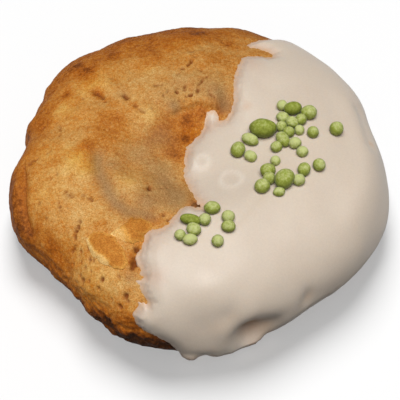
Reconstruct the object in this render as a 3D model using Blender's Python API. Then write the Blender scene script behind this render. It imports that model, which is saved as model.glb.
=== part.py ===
"""Half-iced lemon filled cookie: a thick soft round of baked dough with a shallow hollow in its
top, two white chocolate chunks baked into it, and a coat of icing over one half that carries
clusters of small green sugar pearls.

Shapes are worked out in millimetres and scaled to metres when an object is made. +Z is up, the
flat base lies at z = 0 and the origin is the middle of the base's bounding box. The bare half
lies towards -X and the iced half towards +X.

A flat position is where a spot would lie if the cookie's skin were peeled off and spread out:
(x, y) in millimetres, measured along the skin from the middle of the top. The icing, the chunks
and the pearls are drawn in flat positions and then draped over the dough.
"""

import bisect
import math

import bmesh
import bpy
from mathutils import Matrix, Vector, noise

MM = 0.001

# Driving dimensions of the dough, in millimetres
HALF_WIDTH = 43.3
HALF_DEPTH = 43.6
HEIGHT = 25.0
WIDEST_AT = 7.5
UNDERCUT = 2.6
SHOULDER_POWER = 2.5
CENTRING = (0.17, 1.29, 0.0)

# Lobes and dents of the outline in plan: angle and half width in degrees, reach in millimetres
RIM_LOBES = (
    (2.0, 16.0, -0.1),
    (16.0, 12.0, -1.1),
    (45.0, 18.0, -0.2),
    (75.0, 14.0, 0.7),
    (90.0, 10.0, 0.4),
    (118.0, 14.0, 1.0),
    (137.0, 9.0, 1.8),
    (143.0, 4.0, 0.5),
    (148.0, 3.0, 0.9),
    (163.5, 4.0, 1.4),
    (168.0, 8.0, -1.7),
    (187.0, 14.0, 1.8),
    (199.0, 8.0, 1.1),
    (222.0, 14.0, -1.9),
    (232.0, 6.0, 0.9),
    (247.0, 11.0, 1.7),
    (268.0, 16.0, 2.1),
    (307.0, 16.0, -1.95),
    (345.0, 10.0, 0.7),
)

# The hollow in the top where the dough was gathered: middle, half size and depth, and how far out
# its floor ends and its brim lies, as shares of the half size
HOLLOW_AT = (0.5, -3.0)
HOLLOW_HALF = (25.0, 18.5)
HOLLOW_DEPTH = 3.6
HOLLOW_FLOOR = 0.35
HOLLOW_BRIM = 1.1

# Swells and dents of the dough: flat position, half width and height in millimetres
DOUGH_LUMPS = (
    (-17.0, -14.0, 5.5, 1.0),
    (-28.0, -6.5, 5.0, 0.8),
    (-11.0, 7.0, 4.0, 0.9),
    (-3.0, 20.0, 9.0, 0.7),
    (7.0, 12.0, 4.0, 0.6),
    (-23.0, 14.0, 2.2, -0.9),
    (-30.0, 20.0, 9.0, 0.5),
    (-20.0, -38.0, 7.0, 0.6),
    (-3.8, 13.5, 2.0, -0.7),
    (28.3, -40.6, 2.4, -0.6),
    (13.5, -50.3, 4.8, -3.6),
    (19.8, -49.3, 3.2, -1.7),
    (6.5, -44.5, 3.0, -0.7),
    (1.0, -47.0, 6.0, -1.8),
    (2.0, -38.5, 6.0, 0.8),
    (16.0, 13.0, 5.0, -0.9),
)
LUMP_SIZES = ((9.0, 0.5), (4.5, 0.3))
LUMPS_UNDER_ICING = 0.3

# Grooves, or ridges where the depth is below 0: depth, half width and flat positions along each
GROOVES = (
    (0.8, 2.2, (
        (-22.7, -1.0), (-22.6, -9.0), (-21.8, -15.6), (-20.3, -18.7), (-17.0, -20.5), (-6.0, -21.6),
    )),
    (0.6, 3.5, ((44.0, 25.0), (46.8, 3.0), (47.0, -5.0), (41.0, -31.0))),
    (-0.8, 3.5, ((34.0, 24.0), (38.8, 3.0), (38.8, -5.0), (33.0, -28.0))),
    (0.6, 1.8, ((37.8, 17.0), (40.0, 12.0), (40.4, 5.0), (41.0, -1.0))),
)
GROOVE_END = 0.2

# The fold of dough that overhangs the hollow's far side: its edge, its height, how steep the edge
# is and how far the fold reaches back
LIP = ((-8.4, 6.2), (-5.2, 8.8), (-0.7, 10.5), (3.4, 9.6), (6.0, 9.2))
LIP_HEIGHT = 1.3
LIP_EDGE = 0.7
LIP_BACK = 6.0
LIP_STARTS = 0.25
LIP_ENDS = 0.9

# The crease above the dough's foot, and the ledge that stands out below it
CREASE = (
    (-41.0, -2.0), (-40.8, -8.1), (-41.3, -12.5), (-42.3, -16.5), (-42.9, -19.5), (-42.2, -23.0),
)
CREASE_DEPTH = 0.9
CREASE_HALF = 1.4
LEDGE_AT = 2.5
LEDGE_HALF = 2.5

# The relief dies out this far from the base's edge, so that the base stays flat
FLAT_RIM = 3.0

# The icing's ragged edge over the top, from the far side to the front, in flat positions
ICING_EDGE = (
    (19.6, 45.0), (18.3, 38.1), (15.2, 35.0), (12.6, 32.9), (11.3, 30.9), (13.9, 29.6), (17.0, 28.0),
    (13.8, 26.9), (10.2, 25.5), (8.5, 20.9), (7.7, 14.2), (7.1, 9.1), (5.2, 6.9), (3.7, 8.9),
    (1.4, 8.7), (0.9, 6.5), (-0.5, 2.9), (-3.4, -1.2), (-4.0, -9.0), (-2.0, -14.0), (0.6, -19.0),
    (-2.6, -18.3), (-4.2, -18.9), (-6.4, -22.5), (-9.6, -24.2), (-11.3, -24.5), (-12.7, -27.8),
    (-14.0, -30.6), (-12.9, -33.7), (-14.4, -35.9), (-12.3, -39.9), (-14.2, -40.4), (-15.8, -43.0),
    (-15.1, -46.1), (-11.7, -49.6), (-8.0, -53.1), (-7.0, -56.2),
)
ICING = 1.1
ICING_LIP = 0.35
ICING_TAPER = 3.0
GAP = 0.35
FLOOR_CLEARANCE = 0.5

# The icing's hem: how far from the base's edge it ends, the waves along it, and the stretch where
# it ran down almost to the floor
HEM = 2.2
HEM_WAVE = 0.5
HEM_WAVE_TURN = 12.0
HEM_STEPS = 44
RUN_AT = 278.0
RUN_HALF = 16.0
RUN_DROP = 1.6

# Where the icing is thicker or thinner: flat position, half width and height in millimetres
ICING_LUMPS = (
    (2.0, -50.0, 6.0, 0.3),
    (-0.1, -4.5, 3.0, 0.35),
    (7.1, -10.9, 4.4, 0.3),
    (-12.0, -42.5, 3.5, 0.5),
    (9.5, -25.0, 5.0, 0.3),
)
# The foot that it pooled into: flat position, half width and how far it spreads
ICING_FOOT = (
    (-4.4, -58.3, 1.9, 1.5),
    (-1.9, -58.5, 1.9, 1.5),
    (5.0, -58.6, 2.4, 1.1),
    (9.0, -58.2, 2.4, 1.0),
    (12.4, -57.4, 2.4, 0.5),
    (15.2, -56.7, 2.2, 0.8),
    (18.0, -55.8, 2.0, 1.0),
)

# The white chocolate chunks: their outlines in flat positions, how far the rim and the middle
# stand out, how deep each is set and how wide its sloping rim is
CHUNK_LOW = (
    (-27.3, -27.2), (-25.4, -25.6), (-22.6, -25.6), (-19.6, -27.2), (-17.0, -29.8), (-16.2, -31.9),
    (-17.4, -33.2), (-19.8, -33.0), (-23.2, -31.2), (-26.1, -29.2),
)
CHUNK_HIGH = (
    (-20.5, -25.9), (-17.9, -24.3), (-15.3, -23.0), (-13.0, -22.3), (-11.3, -22.8), (-11.0, -23.9),
    (-12.2, -25.4), (-13.4, -26.8), (-15.2, -27.7), (-17.2, -27.0),
)
CHUNK_EDGE = 0.2
CHUNK_RISE = 1.2
CHUNK_DEPTH = 2.5
CHUNK_BEVEL = 0.9

# The sugar pearls: flat position, half length, half width and turn in degrees
PEARLS = (
    (19.5, 8.8, 1.3, 1.3, 0.0), (22.1, 7.6, 2.2, 1.6, 15.0), (25.6, 6.4, 2.0, 1.7, 25.0),
    (20.0, 5.4, 1.6, 1.3, -25.0), (22.0, 3.7, 1.6, 1.4, -35.0), (23.9, 4.4, 1.4, 1.4, 0.0),
    (15.5, 2.3, 3.3, 2.2, -8.0), (19.6, 2.8, 1.3, 1.3, 0.0), (21.1, 1.0, 1.4, 1.3, 0.0),
    (23.4, 1.5, 1.2, 1.2, 0.0), (26.2, 0.8, 1.4, 1.4, 0.0), (31.6, 2.7, 1.7, 1.7, 0.0),
    (19.6, -1.1, 2.1, 1.5, -60.0), (17.9, -3.0, 1.4, 1.3, 0.0), (22.1, -2.4, 1.5, 1.4, 0.0),
    (23.4, -5.0, 1.4, 1.3, 0.0), (11.9, -0.1, 2.1, 1.4, -25.0), (8.6, -3.3, 1.9, 1.7, 70.0),
    (11.8, -5.1, 1.6, 1.3, -35.0), (17.6, -7.2, 1.2, 1.2, 0.0), (16.1, -10.9, 1.8, 1.7, 0.0),
    (16.4, -13.4, 1.5, 1.5, 0.0), (14.9, -16.1, 1.8, 1.7, 0.0), (19.6, -13.9, 2.6, 2.2, 60.0),
    (18.5, -17.0, 1.4, 1.1, 10.0), (22.5, -13.2, 1.5, 1.4, 0.0), (23.6, -10.2, 1.7, 1.5, 70.0),
    (26.6, -8.4, 1.5, 1.5, 0.0), (2.6, -21.1, 1.9, 1.5, 0.0), (-2.0, -23.4, 2.5, 1.3, -12.0),
    (1.0, -23.5, 1.4, 1.4, 0.0), (-1.3, -25.7, 1.7, 1.5, -25.0), (-4.2, -26.9, 1.3, 1.3, 0.0),
    (-2.1, -27.9, 1.7, 1.3, 5.0), (6.1, -23.5, 1.5, 1.5, 0.0), (6.1, -25.7, 1.6, 1.4, 0.0),
    (3.7, -28.6, 1.4, 1.4, 0.0),
)
PEARL_SINK = 0.4
PEARL_SIDES = 8
PEARL_RINGS = 5

UP = Vector((0.0, 0.0, 1.0))

# How finely the pieces are made
COOKIE_RINGS = 24
PROFILE_STEPS = 120
PROBE = 0.4
SMOOTH_ANGLE = 40.0


def bell(distance, width):
    """1 at the middle, falling smoothly to nothing a few widths away."""
    return math.exp(-((distance / width) ** 2))


def smooth_step(value, low, high):
    """0 below low, 1 above high, and an easy curve between them."""
    share = min(1.0, max(0.0, (value - low) / (high - low)))
    return share * share * (3.0 - 2.0 * share)


def turn_between(a, b):
    """The angle from b to a, between -180 and 180 degrees."""
    return (a - b + 180.0) % 360.0 - 180.0


def to_line(x, y, line):
    """The distance from a flat position to a line of points, above 0 on its left side, and how far
    along the line the nearest spot lies, from 0 to 1."""
    best, side, along = math.inf, 1.0, 0.0
    for index, ((ax, ay), (bx, by)) in enumerate(zip(line, line[1:])):
        dx, dy = bx - ax, by - ay
        share = min(1.0, max(0.0, ((x - ax) * dx + (y - ay) * dy) / (dx * dx + dy * dy)))
        gap = math.hypot(x - ax - dx * share, y - ay - dy * share)
        if gap < best:
            best = gap
            side = 1.0 if dx * (y - ay) - dy * (x - ax) >= 0.0 else -1.0
            along = (index + share) / (len(line) - 1)
    return best * side, along


def inside(x, y, outline):
    """Whether a flat position lies inside a closed outline."""
    crossings = 0
    for (ax, ay), (bx, by) in zip(outline, outline[1:] + outline[:1]):
        if (ay > y) != (by > y) and x < ax + (y - ay) * (bx - ax) / (by - ay):
            crossings += 1
    return crossings % 2 == 1


def rim_radius(angle):
    """How far the dough's widest edge lies from its middle, at an angle in degrees."""
    turn = math.radians(angle)
    ellipse = 1.0 / math.hypot(math.cos(turn) / HALF_WIDTH, math.sin(turn) / HALF_DEPTH)
    return ellipse + sum(reach * bell(turn_between(angle, at), width) for at, width, reach in RIM_LOBES)


def profile_points():
    """The half outline of the dough seen from the side, from the top's middle to the base's edge:
    (share of the rim radius, millimetres taken off it, height)."""
    points = []
    for step in range(PROFILE_STEPS + 1):
        turn = math.pi / 2 * step / PROFILE_STEPS
        reach = math.sin(turn) ** (2.0 / SHOULDER_POWER)
        lift = max(0.0, math.cos(turn)) ** (2.0 / SHOULDER_POWER)
        points.append((reach, 0.0, WIDEST_AT + (HEIGHT - WIDEST_AT) * lift))
    for step in range(1, PROFILE_STEPS // 4 + 1):
        turn = math.pi / 2 * step / (PROFILE_STEPS // 4)
        points.append((1.0, UNDERCUT * (1.0 - math.cos(turn)), WIDEST_AT * (1.0 - math.sin(turn))))
    return points


def lengths_along(points):
    """How far each profile point lies along the skin from the middle of the top."""
    lengths = [0.0]
    for (reach_a, off_a, high_a), (reach_b, off_b, high_b) in zip(points, points[1:]):
        across = HALF_WIDTH * (reach_b - reach_a) - (off_b - off_a)
        lengths.append(lengths[-1] + math.hypot(across, high_b - high_a))
    return lengths


PROFILE = profile_points()
LENGTHS = lengths_along(PROFILE)
SKIN = LENGTHS[-1]


def profile_at(length):
    """The profile's values at a length along the skin."""
    length = min(max(length, 0.0), SKIN)
    after = min(max(bisect.bisect_left(LENGTHS, length), 1), len(LENGTHS) - 1)
    start, end = LENGTHS[after - 1], LENGTHS[after]
    part = (length - start) / (end - start)
    return tuple(a + (b - a) * part for a, b in zip(PROFILE[after - 1], PROFILE[after]))


def icing_outline():
    """The whole edge of the icing: the ragged edge over the top, and the hem round the side."""
    start = math.degrees(math.atan2(ICING_EDGE[-1][1], ICING_EDGE[-1][0])) % 360.0
    end = math.degrees(math.atan2(ICING_EDGE[0][1], ICING_EDGE[0][0])) + 360.0
    hem = []
    for step in range(HEM_STEPS + 1):
        angle = start + (end - start) * (step + 0.5) / (HEM_STEPS + 1)
        wave = HEM_WAVE * noise.noise(Vector((angle / HEM_WAVE_TURN, 0.0, 3.0)))
        radius = SKIN - HEM + wave + RUN_DROP * bell(turn_between(angle, RUN_AT), RUN_HALF)
        hem.append((radius * math.cos(math.radians(angle)), radius * math.sin(math.radians(angle))))
    return ICING_EDGE + tuple(hem)


OUTLINE = icing_outline()


def icing_reach(x, y):
    """How far inside the icing's edge a flat position lies; below 0 outside it."""
    closed = OUTLINE + OUTLINE[:1]
    reach = abs(to_line(x, y, closed)[0])
    return reach if inside(x, y, OUTLINE) else -reach


def body_point(x, y):
    """The smooth dough under a flat position."""
    reach, off, height = profile_at(math.hypot(x, y))
    turn = math.atan2(y, x)
    radius = rim_radius(math.degrees(turn)) * reach - off
    across = radius * math.cos(turn)
    along = radius * math.sin(turn)
    out = math.hypot((across - HOLLOW_AT[0]) / HOLLOW_HALF[0], (along - HOLLOW_AT[1]) / HOLLOW_HALF[1])
    height -= HOLLOW_DEPTH * (1.0 - smooth_step(out, HOLLOW_FLOOR, HOLLOW_BRIM))
    return Vector((across, along, height))


def body_normal(x, y):
    """Which way the smooth dough faces under a flat position: level where it curls under."""
    east = body_point(x + PROBE, y) - body_point(x - PROBE, y)
    north = body_point(x, y + PROBE) - body_point(x, y - PROBE)
    facing = east.cross(north).normalized()
    return facing if facing.z > 0.0 else Vector((x, y, 0.0)).normalized()


def sum_of_bells(x, y, lumps):
    """The height that a list of lumps (x, y, half width, height) gives a flat position."""
    return sum(rise * bell(math.hypot(x - at_x, y - at_y), width) for at_x, at_y, width, rise in lumps)


def ends_of(along, start, end):
    """1 along a line, falling to nothing before its start and past its end, both as shares."""
    return smooth_step(along, 0.0, start) * (1.0 - smooth_step(along, end, 1.0))


def dough_relief(x, y, point):
    """How far the dough stands out from its smooth body at a flat position."""
    height = sum_of_bells(x, y, DOUGH_LUMPS)
    lumps = sum(rise * noise.noise(point / size) for size, rise in LUMP_SIZES)
    bare = 1.0 - smooth_step(icing_reach(x, y), -ICING_LIP, ICING_TAPER)
    height += lumps * (LUMPS_UNDER_ICING + (1.0 - LUMPS_UNDER_ICING) * bare)
    for depth, width, line in GROOVES:
        off, along = to_line(x, y, line)
        height -= depth * ends_of(along, GROOVE_END, 1.0 - GROOVE_END) * bell(off, width)
    off, along = to_line(x, y, LIP)
    fold = smooth_step(off, -LIP_EDGE, LIP_EDGE) * bell(max(off, 0.0), LIP_BACK)
    height += LIP_HEIGHT * ends_of(along, LIP_STARTS, LIP_ENDS) * fold
    off, along = to_line(x, y, CREASE)
    step = bell(off + LEDGE_AT, LEDGE_HALF) - bell(off, CREASE_HALF)
    height += CREASE_DEPTH * ends_of(along, GROOVE_END, 1.0 - GROOVE_END) * step
    return height * (1.0 - smooth_step(math.hypot(x, y), SKIN - FLAT_RIM, SKIN))


def dough_point(x, y, lift=0.0):
    """The dough's surface under a flat position, or a spot above or below it."""
    smooth = body_point(x, y)
    return smooth + Vector(CENTRING) + body_normal(x, y) * (dough_relief(x, y, smooth) + lift)


def icing_thickness(x, y):
    """How thick the icing lies at a flat position: thin at its edge but for its foot."""
    spread = smooth_step(max(icing_reach(x, y), 0.0), 0.0, ICING_TAPER)
    coat = (ICING - ICING_LIP + sum_of_bells(x, y, ICING_LUMPS)) * spread
    return ICING_LIP + coat + sum_of_bells(x, y, ICING_FOOT)


def disc_grid(rings):
    """A square grid drawn out to a disc of flat positions, ring k holding 8k points."""
    mesh = bmesh.new()
    bmesh.ops.create_grid(mesh, x_segments=2 * rings, y_segments=2 * rings, size=1.0)
    for vert in mesh.verts:
        x, y = vert.co.x, vert.co.y
        wide = abs(x) >= abs(y)
        side, rest = (x, y) if wide else (y, x)
        slant = math.radians(45.0 * rest / side) if side else 0.0
        far, near = side * math.cos(slant), side * math.sin(slant)
        vert.co = Vector((far, near, 0.0) if wide else (near, far, 0.0)) * SKIN
    return mesh


def slab(mesh, low, high):
    """Gives a flat sheet at z = 0 a thickness from low to high."""
    made = bmesh.ops.extrude_face_region(mesh, geom=mesh.faces[:], use_keep_orig=True)
    raised = {item for item in made["geom"] if isinstance(item, bmesh.types.BMVert)}
    for vert in mesh.verts:
        vert.co.z = high if vert in raised else low
    bmesh.ops.recalc_face_normals(mesh, faces=mesh.faces)
    return mesh


def outline_slab(outline, low, high):
    """A flat sheet cut to an outline, with a thickness from low to high."""
    mesh = bmesh.new()
    mesh.faces.new([mesh.verts.new((x, y, 0.0)) for x, y in outline])
    return slab(mesh, low, high)


def link(name, mesh, material=None):
    """A named object that holds a bmesh as it is."""
    data = bpy.data.meshes.new(name)
    mesh.to_mesh(data)
    mesh.free()
    if material:
        data.materials.append(material)
    made = bpy.data.objects.new(name, data)
    bpy.context.scene.collection.objects.link(made)
    return made


def joined(target, others, operation):
    """The target after one Boolean with all the others, which are removed."""
    group = bpy.data.collections.new("tools")
    for other in others:
        group.objects.link(other)
    cut = target.modifiers.new("cut", "BOOLEAN")
    cut.operation = operation
    cut.operand_type = "COLLECTION"
    cut.collection = group
    cut.solver = "EXACT"
    bpy.context.view_layer.update()
    graph = bpy.context.evaluated_depsgraph_get()
    result = bpy.data.meshes.new_from_object(target.evaluated_get(graph))
    target.modifiers.clear()
    target.data = result
    for other in others:
        bpy.data.objects.remove(other)
    bpy.data.collections.remove(group)
    return target


def finish(made):
    """Scales an object's mesh from millimetres to metres and shades it smooth."""
    made.data.transform(Matrix.Scale(MM, 4))
    made.data.shade_smooth()
    made.data.set_sharp_from_angle(angle=math.radians(SMOOTH_ANGLE))
    return made


def make_material(name, colour, roughness):
    material = bpy.data.materials.new(name)
    material.use_nodes = True
    shader = material.node_tree.nodes["Principled BSDF"]
    shader.inputs["Base Color"].default_value = (*colour, 1.0)
    shader.inputs["Roughness"].default_value = roughness
    return material


def grown(outline, margin):
    """An outline moved outwards from its middle by a margin."""
    middle = Vector((sum(x for x, y in outline), sum(y for x, y in outline))) / len(outline)
    moved = []
    for x, y in outline:
        out = Vector((x, y)) - middle
        moved.append(tuple(middle + out * (1.0 + margin / out.length)))
    return tuple(moved)


def chunk_mesh(outline, margin=0.0):
    """A chunk with a low rim and a raised middle, draped over the dough; a margin makes it larger
    on every side."""
    mesh = outline_slab(grown(outline, margin), -CHUNK_DEPTH - margin, CHUNK_EDGE + margin)
    top = [face for face in mesh.faces if face.normal.z > 0.5]
    bmesh.ops.inset_individual(mesh, faces=top, thickness=CHUNK_BEVEL, depth=CHUNK_RISE)
    bmesh.ops.triangulate(mesh, faces=mesh.faces)
    for vert in mesh.verts:
        vert.co = dough_point(vert.co.x, vert.co.y, vert.co.z)
    bmesh.ops.recalc_face_normals(mesh, faces=mesh.faces)
    return mesh


def make_cookie(material):
    mesh = disc_grid(COOKIE_RINGS)
    for vert in mesh.verts:
        vert.co = dough_point(vert.co.x, vert.co.y)
    rim = [edge for edge in mesh.edges if edge.is_boundary]
    bmesh.ops.contextual_create(mesh, geom=rim)
    bmesh.ops.recalc_face_normals(mesh, faces=mesh.faces)
    cookie = link("cookie", mesh, material)
    pockets = [link("pocket", chunk_mesh(outline, GAP)) for outline in (CHUNK_LOW, CHUNK_HIGH)]
    return finish(joined(cookie, pockets, "DIFFERENCE"))


def make_chunks(material):
    for number, outline in enumerate((CHUNK_LOW, CHUNK_HIGH), start=1):
        finish(link(f"white_chocolate_chunk_{number}", chunk_mesh(outline), material))


def make_pearl(x, y, half_length, half_width, turn):
    """A sugar pearl, pressed a little into the icing."""
    mesh = bmesh.new()
    bmesh.ops.create_uvsphere(mesh, u_segments=PEARL_SIDES, v_segments=PEARL_RINGS, radius=1.0)
    facing = UP.rotation_difference(body_normal(x, y)).to_matrix().to_4x4()
    middle = dough_point(x, y, GAP + icing_thickness(x, y) + half_width - PEARL_SINK)
    shape = Matrix.Diagonal((half_length, half_width, half_width, 1.0))
    spin = Matrix.Rotation(math.radians(turn), 4, "Z")
    bmesh.ops.transform(mesh, matrix=Matrix.Translation(middle) @ facing @ spin @ shape, verts=mesh.verts)
    return link("pearl", mesh)


def make_icing(material):
    sheet = link("icing", slab(disc_grid(COOKIE_RINGS), 0.0, 1.0), material)
    joined(sheet, [link("edge", outline_slab(OUTLINE, -1.0, 2.0))], "INTERSECT")
    mesh = bmesh.new()
    mesh.from_mesh(sheet.data)
    bmesh.ops.triangulate(mesh, faces=mesh.faces)
    for vert in mesh.verts:
        x, y, level = vert.co
        vert.co = dough_point(x, y, GAP + (icing_thickness(x, y) if level > 0.5 else 0.0))
        vert.co.z = max(vert.co.z, FLOOR_CLEARANCE)
    mesh.to_mesh(sheet.data)
    mesh.free()
    return finish(joined(sheet, [make_pearl(*pearl) for pearl in PEARLS], "UNION"))


def main():
    for old in list(bpy.data.objects):
        bpy.data.objects.remove(old)
    make_cookie(make_material("crust", (0.52, 0.28, 0.10), 0.85))
    make_chunks(make_material("white_chocolate", (0.72, 0.45, 0.16), 0.55))
    make_icing(make_material("icing", (0.68, 0.60, 0.50), 0.4))


main()
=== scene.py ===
"""Looks of the half-iced lemon filled cookie: baked dough with pores, cracks and toasted patches,
a satin icing coat with runs and a pool, two toasted white chocolate chunks and green sugar pearls.

Lengths are in millimetres until a mesh is finished, when it is scaled to metres. A flat position
is where a spot would lie if the cookie's skin were peeled off and spread out: (x, y) measured
along the skin from the middle of the top.
"""

import math
import random

import bmesh
import bpy
import numpy as np
from mathutils import Matrix, Vector, noise


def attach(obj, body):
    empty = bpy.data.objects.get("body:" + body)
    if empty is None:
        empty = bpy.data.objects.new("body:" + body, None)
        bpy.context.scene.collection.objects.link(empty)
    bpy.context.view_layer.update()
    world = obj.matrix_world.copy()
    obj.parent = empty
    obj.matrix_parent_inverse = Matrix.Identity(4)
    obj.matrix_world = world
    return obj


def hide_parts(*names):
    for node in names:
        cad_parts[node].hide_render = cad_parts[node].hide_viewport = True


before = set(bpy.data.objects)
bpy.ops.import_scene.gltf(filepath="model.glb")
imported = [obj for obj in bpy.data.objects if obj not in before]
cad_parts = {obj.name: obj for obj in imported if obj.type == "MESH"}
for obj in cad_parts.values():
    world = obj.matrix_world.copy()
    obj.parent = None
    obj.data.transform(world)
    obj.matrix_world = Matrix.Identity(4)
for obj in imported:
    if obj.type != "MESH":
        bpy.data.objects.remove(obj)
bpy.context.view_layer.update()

MM = 0.001

# ---- the cookie's form, as in the solids

HALF_WIDTH = 43.3
HALF_DEPTH = 43.6
HEIGHT = 25.0
WIDEST_AT = 7.5
UNDERCUT = 2.6
SHOULDER_POWER = 2.5
CENTRING = (0.17, 1.29, 0.0)
PROFILE_STEPS = 120
PROBE = 0.4

RIM_LOBES = (
    (2.0, 16.0, -0.1), (16.0, 12.0, -1.1), (45.0, 18.0, -0.2), (75.0, 14.0, 0.7), (90.0, 10.0, 0.4),
    (118.0, 14.0, 1.0), (137.0, 9.0, 1.8), (143.0, 4.0, 0.5), (148.0, 3.0, 0.9),
    (163.5, 4.0, 1.4), (168.0, 8.0, -1.7), (187.0, 14.0, 1.8),
    (199.0, 8.0, 1.1), (222.0, 14.0, -1.9), (232.0, 6.0, 0.9), (247.0, 11.0, 1.7), (268.0, 16.0, 2.1),
    (307.0, 16.0, -1.95), (345.0, 10.0, 0.7),
)
HOLLOW_AT = (0.5, -3.0)
HOLLOW_HALF = (25.0, 18.5)
HOLLOW_DEPTH = 3.6
HOLLOW_FLOOR = 0.35
HOLLOW_BRIM = 1.1
DOUGH_LUMPS = (
    (-17.0, -14.0, 5.5, 1.0), (-28.0, -6.5, 5.0, 0.8), (-11.0, 7.0, 4.0, 0.9), (-3.0, 20.0, 9.0, 0.7),
    (7.0, 12.0, 4.0, 0.6), (-23.0, 14.0, 2.2, -0.9), (-30.0, 20.0, 9.0, 0.5), (-20.0, -38.0, 7.0, 0.6),
    (-3.8, 13.5, 2.0, -0.7), (28.3, -40.6, 2.4, -0.6), (13.5, -50.3, 4.8, -3.6), (19.8, -49.3, 3.2, -1.7),
    (6.5, -44.5, 3.0, -0.7), (1.0, -47.0, 6.0, -1.8), (2.0, -38.5, 6.0, 0.8), (16.0, 13.0, 5.0, -0.9),
)
LUMP_SIZES = ((9.0, 0.5), (4.5, 0.3))
LUMPS_UNDER_ICING = 0.3
# Grooves, or ridges where the depth is below 0: depth, half width and flat positions along each.
# The first is the trough round the middle
GROOVES = (
    (0.8, 2.2, (
        (-22.7, -1.0), (-22.6, -9.0), (-21.8, -15.6), (-20.3, -18.7), (-17.0, -20.5), (-6.0, -21.6),
    )),
    (0.6, 3.5, ((44.0, 25.0), (46.8, 3.0), (47.0, -5.0), (41.0, -31.0))),
    (-0.8, 3.5, ((34.0, 24.0), (38.8, 3.0), (38.8, -5.0), (33.0, -28.0))),
    (0.6, 1.8, ((37.8, 17.0), (40.0, 12.0), (40.4, 5.0), (41.0, -1.0))),
)
TROUGH = GROOVES[0][2]
GROOVE_END = 0.2
# The lip over the hollow, and the crease along the left rim with the ledge outside it
LIP = ((-8.4, 6.2), (-5.2, 8.8), (-0.7, 10.5), (3.4, 9.6), (6.0, 9.2))
LIP_HEIGHT = 1.3
LIP_EDGE = 0.7
LIP_BACK = 6.0
LIP_STARTS = 0.25
LIP_ENDS = 0.66
CREASE = ((-41.0, -2.0), (-40.8, -8.1), (-41.3, -12.5), (-42.3, -16.5), (-42.9, -19.5), (-42.2, -23.0))
CREASE_DEPTH = 0.9
CREASE_HALF = 1.4
LEDGE_AT = 2.5
LEDGE_HALF = 2.5
FLAT_RIM = 3.0

# ---- the icing

ICING_EDGE = (
    (22.0, 56.5), (21.5, 51.0), (19.6, 45.0), (18.3, 38.1), (15.2, 35.0), (12.6, 32.9), (11.3, 30.9),
    (12.0, 29.7), (13.9, 29.9), (15.8, 29.6), (17.3, 28.4), (17.2, 27.6), (15.9, 26.9), (13.8, 27.1),
    (11.9, 26.3), (10.2, 25.5), (9.2, 23.1), (8.5, 20.9), (7.7, 17.3), (7.7, 14.2), (7.7, 11.5),
    (7.1, 9.1), (6.0, 7.3), (4.6, 6.9), (4.3, 7.9), (3.7, 8.9), (2.6, 9.1), (1.4, 8.7), (1.2, 7.7),
    (0.9, 6.5), (0.5, 5.0), (-0.5, 2.9), (-1.6, 1.1), (-2.7, 0.1), (-3.4, -1.2), (-3.8, -4.0),
    (-3.8, -6.8), (-4.0, -9.0), (-3.1, -11.2), (-2.0, -14.0), (-1.1, -16.4), (0.0, -18.1),
    (0.6, -19.0), (-0.6, -18.9), (-2.6, -18.3), (-4.2, -18.9), (-5.3, -20.7), (-6.4, -22.5),
    (-7.8, -23.9), (-9.6, -24.2), (-11.3, -24.5), (-12.1, -26.0), (-12.7, -27.8), (-13.4, -29.5),
    (-14.0, -30.6), (-13.6, -32.2), (-12.9, -33.7), (-13.4, -34.6), (-12.6, -35.2), (-14.4, -35.9),
    (-13.4, -37.0), (-12.9, -38.7), (-12.3, -39.9), (-11.8, -40.8), (-13.1, -40.6), (-14.2, -40.3),
    (-13.7, -41.3), (-14.8, -42.0), (-15.8, -43.0), (-15.5, -44.5), (-15.1, -46.1), (-13.9, -48.0),
    (-11.7, -49.6), (-9.6, -51.4), (-8.0, -53.1), (-7.0, -56.2),
)
EDGE_RAGS = ((1.6, 0.3), (0.7, 0.2))
ICING = 1.1
ICING_LIP = 0.35
# How far in from its edge the icing has buried the dough's lumps, is full thick and is rounded, and
# how short that round is at the hem, past these lengths along the skin
ICING_TAPER = 3.0
ICING_SPREAD = 4.6
ICING_ROUND = 2.6
HEM_ROUND = 0.8
HEM_BAND = (46.0, 52.0)
ICING_TUCK = 2.4
GAP = 0.35
HEM = 2.2
HEM_WAVE = 0.5
HEM_WAVE_TURN = 12.0
HEM_STEPS = 44
RUN_AT = 278.0
RUN_HALF = 16.0
RUN_DROP = 1.6
FLOOR_CLEARANCE = 0.5
ICING_LUMPS = (
    (2.0, -50.0, 6.0, 0.3), (-0.1, -4.5, 3.0, 0.35), (7.1, -10.9, 4.4, 0.3), (-12.0, -42.5, 3.5, 0.5),
    (9.5, -25.0, 5.0, 0.3), (12.6, -46.6, 3.4, 0.6), (14.6, -52.4, 3.0, -0.7),
)
# Drips at the foot of the coat, and the reach over which they begin
ICING_FOOT = (
    (-4.4, -58.3, 1.9, 1.5), (-1.9, -58.5, 1.9, 1.5), (5.0, -58.6, 2.4, 1.1), (9.0, -58.2, 2.4, 1.0),
    (12.4, -57.4, 2.4, 0.5), (15.2, -56.7, 2.2, 0.8), (18.0, -55.8, 2.0, 1.0),
)
FOOT_EDGE = (-1.0, 0.2)
# Rings left by burst bubbles: flat position, radius and height of the rim
ICING_BUBBLES = ((0.4, -5.9, 1.7, 0.2), (7.5, -12.2, 2.7, 0.14))
BUBBLE_WIDTH = 0.5
# A fold in the coat: depth, half width and the flat positions along it
ICING_FOLDS = ((0.3, 0.9, ((17.5, -13.2), (16.3, -15.0), (12.3, -20.3), (8.0, -24.6), (6.5, -27.0))),)

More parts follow.
